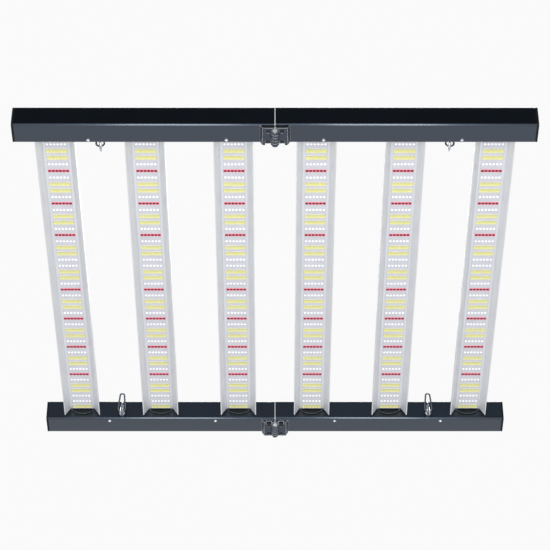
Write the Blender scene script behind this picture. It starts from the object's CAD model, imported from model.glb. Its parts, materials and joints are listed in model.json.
"""Looks for the foldable six-bar grow light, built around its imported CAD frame."""
import json
import math

import bmesh
import bpy
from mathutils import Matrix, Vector


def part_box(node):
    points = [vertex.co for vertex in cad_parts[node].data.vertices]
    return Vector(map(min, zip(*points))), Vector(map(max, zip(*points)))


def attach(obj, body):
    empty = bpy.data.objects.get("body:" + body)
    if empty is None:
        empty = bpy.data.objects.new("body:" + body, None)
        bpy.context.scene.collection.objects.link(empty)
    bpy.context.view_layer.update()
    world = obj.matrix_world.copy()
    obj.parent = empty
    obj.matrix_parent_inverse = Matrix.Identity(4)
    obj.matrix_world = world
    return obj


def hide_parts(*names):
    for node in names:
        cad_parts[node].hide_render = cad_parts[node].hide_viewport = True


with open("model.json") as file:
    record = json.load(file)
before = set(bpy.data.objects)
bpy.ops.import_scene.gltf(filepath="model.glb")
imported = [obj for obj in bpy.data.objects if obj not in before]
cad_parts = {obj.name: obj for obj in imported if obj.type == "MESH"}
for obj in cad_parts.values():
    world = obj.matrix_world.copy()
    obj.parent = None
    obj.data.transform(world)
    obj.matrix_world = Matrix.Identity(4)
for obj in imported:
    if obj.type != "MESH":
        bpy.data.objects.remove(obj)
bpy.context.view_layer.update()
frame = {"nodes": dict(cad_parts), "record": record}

MM = 0.001
SIDES = ("left", "right")
ROWS = ("near", "far")
BAR_COUNT = 6
EVEN = (1.0, 1.0, 1.0)


# ---------------------------------------------------------------- camera, stage and light

CAMERA_PLACE = (0.0, -3.866, -3.348)
CAMERA_RISE = 41.44
LENS_MM = 150.5
SENSOR_MM = 36.0
CAMERA_REACH = 100.0

MIDDLE = (0.0, 0.0, 0.04)
FAR_BEAM = (0.0, 0.465, 0.05)
SOFTBOXES = (
    {"name": "key_front", "place": (0.0, -3.7, -3.3), "target": MIDDLE,
     "size": (2.6, 4.4), "radiance": 5.4, "colour": EVEN},
    {"name": "rim_above", "place": (0.5, 3.0, 4.5), "target": MIDDLE,
     "size": (3.0, 3.0), "radiance": 6.0, "colour": EVEN},
    {"name": "strip_above", "place": (0.0, -0.29, 0.75), "target": FAR_BEAM,
     "size": (1.8, 0.7), "radiance": 0.60, "colour": (0.84, 0.97, 1.12)},
)

BACKDROP = (0.956, 0.956, 0.956, 1.0)
BRIGHT_WAY = (0.0, 0.8, -0.6)
SKY_TINT = (0.96, 1.0, 1.07)
SKY_START = (0.02, 0.02, 0.02, 1.0)
SKY_STEPS = ((0.20, 0.04), (0.40, 0.12), (0.55, 0.40), (0.69, 0.72), (0.82, 0.66), (0.92, 0.50))
SKY_END = (0.45, 0.49, 0.54, 1.0)

FLOOR_HALF = 90.0
FLOOR_Z = -7.5
FLOOR_COLOUR = (0.75, 0.75, 0.76)
FLOOR_ROUGHNESS = 0.9
FLOOR_GLOW = {"Emission Color": (0.96, 0.97, 1.0, 1.0), "Emission Strength": 0.44}


def add_node(tree, kind, inputs=None, **settings):
    """Adds a shader node, with its settings first and then the values of its inputs."""
    made = tree.nodes.new("ShaderNode" + kind)
    for key, value in settings.items():
        setattr(made, key, value)
    for key, value in (inputs or {}).items():
        made.inputs[key].default_value = value
    return made


def make_camera():
    """Stands in front of the light and below it, looking up at the LEDs."""
    data = bpy.data.cameras.new("camera")
    data.lens = LENS_MM
    data.sensor_width = SENSOR_MM
    data.clip_end = CAMERA_REACH
    camera = bpy.data.objects.new("camera", data)
    camera.location = CAMERA_PLACE
    camera.rotation_euler = (math.radians(90.0 + CAMERA_RISE), 0.0, 0.0)
    bpy.context.scene.collection.objects.link(camera)
    bpy.context.scene.camera = camera


def area_light(name, place, target, size, radiance, colour):
    """A softbox of the given size and radiance that faces its target and hides from the camera."""
    data = bpy.data.lights.new(name, "AREA")
    data.shape = "RECTANGLE"
    data.size, data.size_y = size
    data.energy = radiance * math.pi * size[0] * size[1]
    data.color = colour
    lamp = bpy.data.objects.new(name, data)
    lamp.location = place
    aim = Vector(target) - Vector(place)
    lamp.rotation_euler = aim.to_track_quat("-Z", "Y").to_euler()
    bpy.context.scene.collection.objects.link(lamp)
    lamp.visible_camera = False


def make_world():
    """Near white to the camera; to the object, bright from below and behind, dim elsewhere."""
    world = bpy.data.worlds.new("studio")
    bpy.context.scene.world = world
    world.use_nodes = True
    tree = world.node_tree
    tree.nodes.clear()
    coords = add_node(tree, "TexCoord")
    toward = add_node(tree, "VectorMath", {1: BRIGHT_WAY}, operation="DOT_PRODUCT")
    to_unit = add_node(tree, "MapRange", {"From Min": -1.0})
    ramp = add_node(tree, "ValToRGB")
    stops = ramp.color_ramp.elements
    stops[0].position, stops[0].color = 0.0, SKY_START
    stops[1].position, stops[1].color = 1.0, SKY_END
    for place, level in SKY_STEPS:
        stops.new(place).color = (*[part * level for part in SKY_TINT], 1.0)
    shaded = add_node(tree, "Background")
    plain = add_node(tree, "Background", {"Color": BACKDROP})
    rays = add_node(tree, "LightPath")
    mix = add_node(tree, "MixShader")
    out = add_node(tree, "OutputWorld")
    link = tree.links.new
    link(coords.outputs["Generated"], toward.inputs[0])
    link(toward.outputs["Value"], to_unit.inputs["Value"])
    link(to_unit.outputs["Result"], ramp.inputs["Fac"])
    link(ramp.outputs["Color"], shaded.inputs["Color"])
    link(rays.outputs["Is Camera Ray"], mix.inputs["Fac"])
    link(shaded.outputs[0], mix.inputs[1])
    link(plain.outputs[0], mix.inputs[2])
    link(mix.outputs[0], out.inputs["Surface"])


def make_floor():
    """A wide, pale, faintly glowing floor below the camera, which the undersides reflect."""
    low, high, z = -FLOOR_HALF, FLOOR_HALF, FLOOR_Z
    mesh = bpy.data.meshes.new("floor")
    mesh.from_pydata(
        [(low, low, z), (high, low, z), (high, high, z), (low, high, z)], [], [(0, 1, 2, 3)])
    floor = bpy.data.objects.new("floor", mesh)
    bpy.context.scene.collection.objects.link(floor)
    look = Surface("floor_white", FLOOR_COLOUR, FLOOR_ROUGHNESS).set(FLOOR_GLOW)
    mesh.materials.append(look.material)


# ---------------------------------------------------------------- materials

class Surface:
    """A Principled material with helpers that add its procedural detail."""

    def __init__(self, name, colour, roughness, metallic=0.0):
        self.material = bpy.data.materials.new(name)
        self.material.use_nodes = True
        self.tree = self.material.node_tree
        self.shader = self.tree.nodes["Principled BSDF"]
        self.colour = (*colour, 1.0)
        self.roughness = roughness
        self.last_normal = None
        self.set({"Base Color": self.colour, "Roughness": roughness, "Metallic": metallic})

    def set(self, values):
        for name, value in values.items():
            self.shader.inputs[name].default_value = value
        return self

    def link(self, source, target):
        self.tree.links.new(source, target)

    def noise(self, scale, detail, stretch):
        """Noise fixed to the object, stretched along its axes."""
        coords = add_node(self.tree, "TexCoord")
        mapping = add_node(self.tree, "Mapping", {"Scale": stretch})
        made = add_node(self.tree, "TexNoise", {"Scale": scale, "Detail": detail})
        self.link(coords.outputs["Object"], mapping.inputs["Vector"])
        self.link(mapping.outputs["Vector"], made.inputs["Vector"])
        return made.outputs["Fac"]

    def remap(self, source, limits, target):
        """Feeds a value to an input, moved from one range to another."""
        made = add_node(self.tree, "MapRange", limits)
        self.link(source, made.inputs["Value"])
        self.link(made.outputs["Result"], target)

    def vary_colour(self, scale, low, high, stretch=EVEN):
        """Multiplies the base colour by a slow noise between low and high."""
        ramp = add_node(self.tree, "ValToRGB")
        for stop, place, level in zip(ramp.color_ramp.elements, (0.3, 0.7), (low, high)):
            stop.position = place
            stop.color = (*[min(1.0, part * level) for part in self.colour[:3]], 1.0)
        self.link(self.noise(scale, 4.0, stretch), ramp.inputs["Fac"])
        self.link(ramp.outputs["Color"], self.shader.inputs["Base Color"])
        return self

    def vary_roughness(self, scale, spread, stretch=EVEN):
        """Moves the roughness up and down by a noise."""
        limits = {"To Min": self.roughness - spread, "To Max": self.roughness + spread}
        self.remap(self.noise(scale, 5.0, stretch), limits, self.shader.inputs["Roughness"])
        return self

    def bump(self, scale, strength, distance, stretch=EVEN):
        """Adds fine relief on top of any that is there already."""
        made = add_node(self.tree, "Bump", {"Strength": strength, "Distance": distance})
        self.link(self.noise(scale, 2.0, stretch), made.inputs["Height"])
        if self.last_normal is not None:
            self.link(self.last_normal, made.inputs["Normal"])
        self.last_normal = made.outputs["Normal"]
        self.link(self.last_normal, self.shader.inputs["Normal"])
        return self

    def wear_edges(self, colour, reach, gain):
        """Lays a rubbed colour over a varied base at edges, where a bevel turns the normal."""
        bevel = add_node(self.tree, "Bevel", {"Radius": reach}, samples=8)
        flat = add_node(self.tree, "NewGeometry")
        match = add_node(self.tree, "VectorMath", operation="DOT_PRODUCT")
        mix = add_node(self.tree, "Mix", data_type="RGBA")
        mix.inputs["B"].default_value = (*colour, 1.0)
        base = self.shader.inputs["Base Color"]
        self.link(bevel.outputs["Normal"], match.inputs[0])
        self.link(flat.outputs["Normal"], match.inputs[1])
        limits = {"From Min": 1.0, "From Max": 1.0 - gain}
        self.remap(match.outputs["Value"], limits, mix.inputs["Factor"])
        self.link(base.links[0].from_socket, mix.inputs["A"])
        self.link(mix.outputs["Result"], base)
        return self

    def fade_shine(self, level, upright, name):
        """Coat sprayed thinner on the long upright faces, so they shine less than level ones."""
        flat = add_node(self.tree, "NewGeometry")
        split = add_node(self.tree, "SeparateXYZ")
        size = add_node(self.tree, "Math", operation="ABSOLUTE")
        self.link(flat.outputs["Normal"], split.inputs["Vector"])
        self.link(split.outputs["Y"], size.inputs[0])
        limits = {"From Min": 0.90, "To Min": level, "To Max": upright}
        self.remap(size.outputs["Value"], limits, self.shader.inputs[name])
        return self

    def shade_pockets(self, reach, low, high):
        """Takes the shine off deep recesses, where coating dust and grime collect."""
        open_sky = add_node(self.tree, "AmbientOcclusion", {"Distance": reach}, samples=8)
        limits = {"From Min": 0.35, "From Max": 0.95, "To Min": low, "To Max": high}
        self.remap(open_sky.outputs["AO"], limits, self.shader.inputs["Specular IOR Level"])
        return self


def powder_coat(name, colour, roughness):
    """Satin powder coat: a fine orange peel with slow changes of tone."""
    made = Surface(name, colour, roughness)
    made.set({"IOR": 1.65, "Specular Tint": (0.74, 1.0, 1.38, 1.0)})
    made.set({"Coat Weight": 1.0, "Coat Roughness": 0.15})
    made.vary_colour(scale=9.0, low=0.88, high=1.12).vary_roughness(scale=35.0, spread=0.05)
    made.fade_shine(level=0.5, upright=0.20, name="Specular IOR Level")
    made.fade_shine(level=1.0, upright=0.25, name="Coat Weight")
    made.bump(scale=900.0, strength=0.16, distance=0.0004)
    made.bump(scale=160.0, strength=0.08, distance=0.0006)
    return made.material


def cast_coat(name, colour, rubbed, shine, pockets):
    """Satin coat over a casting or pressing, rubbed bright along its edges."""
    made = Surface(name, colour, 0.38)
    made.set({"IOR": 1.9, "Specular Tint": (0.84, 1.0, 1.24, 1.0)})
    made.vary_colour(scale=40.0, low=0.85, high=1.15)
    made.wear_edges(rubbed, reach=1.1 * MM, gain=0.08)
    made.bump(scale=900.0, strength=0.16, distance=0.0004)
    if pockets:
        made.shade_pockets(reach=5.0 * MM, low=0.02, high=shine)
    else:
        made.set({"Specular IOR Level": shine})
    return made.material


def drawn_metal(name, colour, roughness, along):
    """Extruded or drawn metal: faint die lines that run along one axis, over a soft sheen."""
    made = Surface(name, colour, roughness, metallic=0.35)
    lines = tuple(1.0 if axis == along else 60.0 for axis in "xyz")
    made.vary_colour(scale=6.0, low=0.94, high=1.04, stretch=lines)
    made.vary_roughness(scale=10.0, spread=0.06, stretch=lines)
    made.bump(scale=14.0, strength=0.05, distance=0.0003, stretch=lines)
    made.bump(scale=1400.0, strength=0.03, distance=0.0002)
    return made.material


def steel(name, colour, roughness):
    """Plated or blackened steel, a little uneven."""
    made = Surface(name, colour, roughness, metallic=1.0)
    made.vary_roughness(scale=260.0, spread=0.08).vary_colour(scale=90.0, low=0.82, high=1.08)
    made.bump(scale=700.0, strength=0.08, distance=0.0003)
    return made.material


def plastic(name, colour, roughness, shine=0.5):
    """Moulded plastic or rubber with a fine grain."""
    made = Surface(name, colour, roughness).set({"Specular IOR Level": shine})
    made.vary_colour(scale=30.0, low=0.9, high=1.1).vary_roughness(scale=80.0, spread=0.06)
    made.bump(scale=1100.0, strength=0.12, distance=0.0002)
    return made.material


def board_mask():
    """White solder mask: glossy, faintly mottled, with the copper's relief just visible."""
    made = Surface("solder_mask", (0.63, 0.63, 0.665), 0.34)
    made.vary_colour(scale=40.0, low=0.96, high=1.03).vary_roughness(scale=60.0, spread=0.05)
    made.bump(scale=120.0, strength=0.10, distance=0.0003, stretch=(1.0, 0.25, 1.0))
    made.bump(scale=1500.0, strength=0.05, distance=0.0002)
    return made.material


def lens(name, colour, roughness, coat, glow):
    """LED window or body: a clear coat over its colour, with a little light of its own."""
    made = Surface(name, colour, roughness)
    made.set({"Coat Weight": coat, "Coat Roughness": 0.08})
    made.set({"Emission Color": made.colour, "Emission Strength": glow})
    made.vary_colour(scale=420.0, low=0.93, high=1.05)
    made.bump(scale=900.0, strength=0.06, distance=0.0002)
    return made.material


MATERIALS = {
    "beam_coat": powder_coat("beam_coat", (0.0060, 0.0080, 0.0110), 0.36),
    "end_cap": plastic("end_cap", (0.010, 0.012, 0.015), 0.55, shine=0.2),
    "fold_plate": powder_coat("fold_plate", (0.010, 0.012, 0.016), 0.40),
    "black_rubber": plastic("black_rubber", (0.008, 0.008, 0.009), 0.70),
    "bright_steel": steel("bright_steel", (0.78, 0.79, 0.82), 0.24),
    "zinc_steel": steel("zinc_steel", (0.50, 0.51, 0.53), 0.38),
    "bracket_coat": cast_coat(
        "bracket_coat", (0.004, 0.005, 0.007), (0.60, 0.63, 0.68), shine=0.14, pockets=False),
    "bar_aluminium": drawn_metal("bar_aluminium", (0.80, 0.815, 0.84), 0.40, along="y"),
    "board_white": board_mask(),
    "thermal_pad": plastic("thermal_pad", (0.30, 0.33, 0.37), 0.75),
    "hinge_metal": cast_coat(
        "hinge_metal", (0.010, 0.012, 0.016), (0.96, 0.98, 1.0), shine=0.48, pockets=True),
    "dark_steel": steel("dark_steel", (0.10, 0.105, 0.12), 0.36),
    "link_steel": steel("link_steel", (0.31, 0.32, 0.34), 0.32),
    "pin_steel": drawn_metal("pin_steel", (0.80, 0.81, 0.83), 0.35, along="y"),
    "driver_case": drawn_metal("driver_case", (0.30, 0.32, 0.35), 0.45, along="x"),
    "gland_plastic": plastic("gland_plastic", (0.012, 0.013, 0.015), 0.38),
    "lead_jacket": plastic("lead_jacket", (0.62, 0.62, 0.60), 0.50),
    "led_body": plastic("led_body", (0.86, 0.86, 0.87), 0.40),
    "phosphor": lens("phosphor", (0.76, 0.735, 0.29), 0.45, coat=0.25, glow=0.05),
    "white_lens": lens("white_lens", (0.95, 0.96, 0.98), 0.22, coat=0.6, glow=0.30),
    "red_body": lens("red_body", (0.88, 0.075, 0.15), 0.35, coat=0.3, glow=0.14),
    "red_lens": lens("red_lens", (0.055, 0.001, 0.005), 0.20, coat=0.3, glow=0.0),
}

# Nodes and slots of the record whose material goes by another name.
LOOKS = {"hinge_pins": "pin_steel", "led_phosphor": "phosphor"}


def paint_cad():
    """Gives every CAD node the material of its slot in the record."""
    for part in frame["record"]["subparts"]:
        mesh = frame["nodes"][part["node"]].data
        mesh.materials.clear()
        slot = part["material_slot"]
        mesh.materials.append(MATERIALS[LOOKS.get(part["node"], LOOKS.get(slot, slot))])
        for polygon in mesh.polygons:
            polygon.material_index = 0


# ---------------------------------------------------------------- softened edges of CAD nodes

WELD_REACH = 0.02 * MM
SHARP_ANGLE = 38.0
SIDE_EDGES = {
    "near_beam": 0.35 * MM,
    "far_beam": 0.35 * MM,
    "outer_caps": 0.8 * MM,
    "inner_caps": 0.6 * MM,
    "bar_brackets": 0.6 * MM,
    "hinge_leaves": 0.7 * MM,
    "driver_screws": 0.7 * MM,
    "cap_screws": 0.4 * MM,
    "hinge_screws": 0.5 * MM,
    "cable_gland": 0.5 * MM,
    "drivers": 1.0 * MM,
}
PIN_EDGE = 0.9 * MM
BAR_EDGE = 0.5 * MM
BOARD_EDGE = 0.2 * MM


def soften(node, width, segments=2):
    """Breaks the sharp edges of a CAD node, as coating and tumbling do."""
    part = frame["nodes"][node]
    weld = part.modifiers.new("weld", "WELD")
    weld.merge_threshold = WELD_REACH
    bevel = part.modifiers.new("bevel", "BEVEL")
    bevel.width = width
    bevel.segments = segments
    bevel.limit_method = "ANGLE"
    bevel.angle_limit = math.radians(SHARP_ANGLE)
    bevel.use_clamp_overlap = True
    bevel.harden_normals = True


def soften_cad():
    for side in SIDES:
        for group, width in SIDE_EDGES.items():
            soften(f"{group}_{side}", width)
    soften("hinge_pins", PIN_EDGE, segments=3)
    for n in range(1, BAR_COUNT + 1):
        soften(f"bar_{n}", BAR_EDGE)
        soften(f"led_board_{n}", BOARD_EDGE, segments=1)


# ---------------------------------------------------------------- mesh helpers

def new_piece(name, shape, materials, body, slot, *replaced):
    """Turns a bmesh into a piece that rides on a body and stands for CAD nodes."""
    bmesh.ops.recalc_face_normals(shape, faces=shape.faces)
    mesh = bpy.data.meshes.new(name)
    shape.normal_update()
    shape.to_mesh(mesh)
    shape.free()
    for material in materials:
        mesh.materials.append(MATERIALS[material])
    piece = bpy.data.objects.new(name, mesh)
    bpy.context.scene.collection.objects.link(piece)
    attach(piece, body)
    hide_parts(*replaced)


def wall(shape, below, above, material, smooth):
    """Joins two rings of vertices, of one length, with quads."""
    count = len(below)
    for i in range(count):
        j = (i + 1) % count
        face = shape.faces.new((below[i], below[j], above[j], above[i]))
        face.material_index = material
        face.smooth = smooth


def loft(shape, rings, material, smooth):
    """Joins rings of points with walls, and gives back their vertices ring by ring."""
    layers = [[shape.verts.new(point) for point in ring] for ring in rings]
    for below, above in zip(layers, layers[1:]):
        wall(shape, below, above, material, smooth)
    return layers


def rectangle(centre, w, l, z, corner):
    """Corner-cut rectangle of points, level, at height z; counter-clockwise from above."""
    x, y = centre
    a, b = w / 2, l / 2
    c = corner
    around = [
        (a, c - b), (a, b - c), (a - c, b), (c - a, b),
        (-a, b - c), (-a, c - b), (c - a, -b), (a - c, -b),
    ]
    return [(x + dx, y + dy, z) for dx, dy in around]


# ---------------------------------------------------------------- LED packages

LED_ORDER = "WYYWR"
BOARD_ROWS = 24
FIRST_ROW = 5
ROW_COUNT = 45
ACROSS = 6
ACROSS_PITCH = 7.5 * MM
PACKAGE_MATERIALS = ["led_body", "phosphor", "white_lens", "red_lens", "red_body"]
PACKAGES = {
    "Y": {"w": 7.45 * MM, "l": 11.5 * MM, "rim": 0.10 * MM, "body": 0, "lens": 1},
    "W": {"w": 5.0 * MM, "l": 5.0 * MM, "rim": 0.35 * MM, "body": 0, "lens": 2},
    "R": {"w": 7.0 * MM, "l": 6.8 * MM, "rim": 0.95 * MM, "body": 4, "lens": 3},
}
BODY_CORNER = 0.3 * MM
WINDOW_CORNER = 0.4 * MM
LIP_CUT = 0.1 * MM
WINDOW_SINK = 0.12 * MM
CROWN_RISE = 0.08 * MM


def led_kind(row):
    """The kind of a row, counted from the near end; the order restarts every BOARD_ROWS rows."""
    return LED_ORDER[((row + FIRST_ROW) % BOARD_ROWS) % len(LED_ORDER)]


def led_package(shape, x, y, board_z, height, kind):
    """Package with a sunk, slightly domed window that faces down."""
    look = PACKAGES[kind]
    w, l = look["w"], look["l"]
    inner_w, inner_l = w - 2 * look["rim"], l - 2 * look["rim"]
    lip = board_z - height
    sunk = lip + WINDOW_SINK
    outline = [
        rectangle((x, y), w, l, board_z, BODY_CORNER),
        rectangle((x, y), w, l, lip + LIP_CUT, BODY_CORNER),
        rectangle((x, y), w - 2 * LIP_CUT, l - 2 * LIP_CUT, lip, BODY_CORNER),
        rectangle((x, y), inner_w, inner_l, lip, WINDOW_CORNER),
    ]
    foot, *_, edge = loft(shape, outline, look["body"], smooth=False)
    glass = rectangle((x, y), inner_w - 2 * LIP_CUT, inner_l - 2 * LIP_CUT, sunk, WINDOW_CORNER)
    window = [shape.verts.new(point) for point in glass]
    wall(shape, edge, window, look["lens"], smooth=False)
    crown = shape.verts.new((x, y, sunk - CROWN_RISE))
    for i, corner in enumerate(window):
        face = shape.faces.new((corner, window[(i + 1) % len(window)], crown))
        face.material_index = look["lens"]
        face.smooth = True
    shape.faces.new(foot[::-1])


def body_of_bar(n):
    return "left_half" if n <= BAR_COUNT // 2 else "right_half"


def make_leds(n):
    """The packages on one board, row by row from the near end."""
    low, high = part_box(f"led_rows_{n}")
    centre_x = (low.x + high.x) / 2
    first_y = low.y + PACKAGES[led_kind(0)]["l"] / 2
    last_y = high.y - PACKAGES[led_kind(ROW_COUNT - 1)]["l"] / 2
    pitch = (last_y - first_y) / (ROW_COUNT - 1)
    shape = bmesh.new()
    for row in range(ROW_COUNT):
        kind = led_kind(row)
        for place in range(ACROSS):
            x = centre_x + (place - (ACROSS - 1) / 2) * ACROSS_PITCH
            led_package(shape, x, first_y + row * pitch, high.z, high.z - low.z, kind)
    new_piece(
        f"leds_bar_{n}", shape, PACKAGE_MATERIALS,
        body_of_bar(n), "led_phosphor", f"led_rows_{n}")


# ---------------------------------------------------------------- hanging hardware

WIRE_SIDES = 20
WIRE_SLACK = 0.02 * MM
BEND_STEPS = 40
LINK_NARROWING = 3.5 * MM


def arc(middle, z, radius, start, turned):
    """Points along an arc that stands upright and square to Y."""
    turns = [start + turned * i / BEND_STEPS for i in range(BEND_STEPS + 1)]
    return [
        Vector((middle.x + radius * math.cos(turn), middle.y, z + radius * math.sin(turn)))
        for turn in turns
    ]


def sweep(shape, path, radius):
    """Round wire along a closed path that lies square to Y."""
    aside = Vector((0, 1, 0))
    turns = [2 * math.pi * s / WIRE_SIDES for s in range(WIRE_SIDES)]
    rings = []
    for i, point in enumerate(path):
        along = (path[(i + 1) % len(path)] - path[i - 1]).normalized()
        across = along.cross(aside).normalized()
        rings.append([
            point + across * (radius * math.cos(turn)) + aside * (radius * math.sin(turn))
            for turn in turns
        ])
    layers = loft(shape, rings, 0, smooth=True)
    wall(shape, layers[-1], layers[0], 0, smooth=True)


def make_link(row, side):
    """Pear-shaped closed wire link, with its wide bend down in the eye."""
    node = f"link_{row}_{side}"
    low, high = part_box(node)
    middle = (low + high) / 2
    wire = (high.y - low.y) / 2
    low_r = (high.x - low.x) / 2 - wire
    top_r = low_r - LINK_NARROWING
    low_z, top_z = low.z + wire + low_r, high.z - wire - top_r
    taper = math.asin((low_r - top_r) / (top_z - low_z))
    path = arc(middle, low_z, low_r, math.pi - taper, math.pi + 2 * taper)
    path += arc(middle, top_z, top_r, taper, math.pi - 2 * taper)
    shape = bmesh.new()
    sweep(shape, path, wire - WIRE_SLACK)
    new_piece(f"wire_{node}", shape, ["link_steel"], node, "link_steel", node)


# ---------------------------------------------------------------- the whole object


bpy.context.scene.view_settings.view_transform = "Standard"
make_camera()
make_world()
make_floor()
for softbox in SOFTBOXES:
    area_light(**softbox)
paint_cad()
soften_cad()
for bar in range(1, BAR_COUNT + 1):
    make_leds(bar)
for side in SIDES:
    for row in ROWS:
        make_link(row, side)
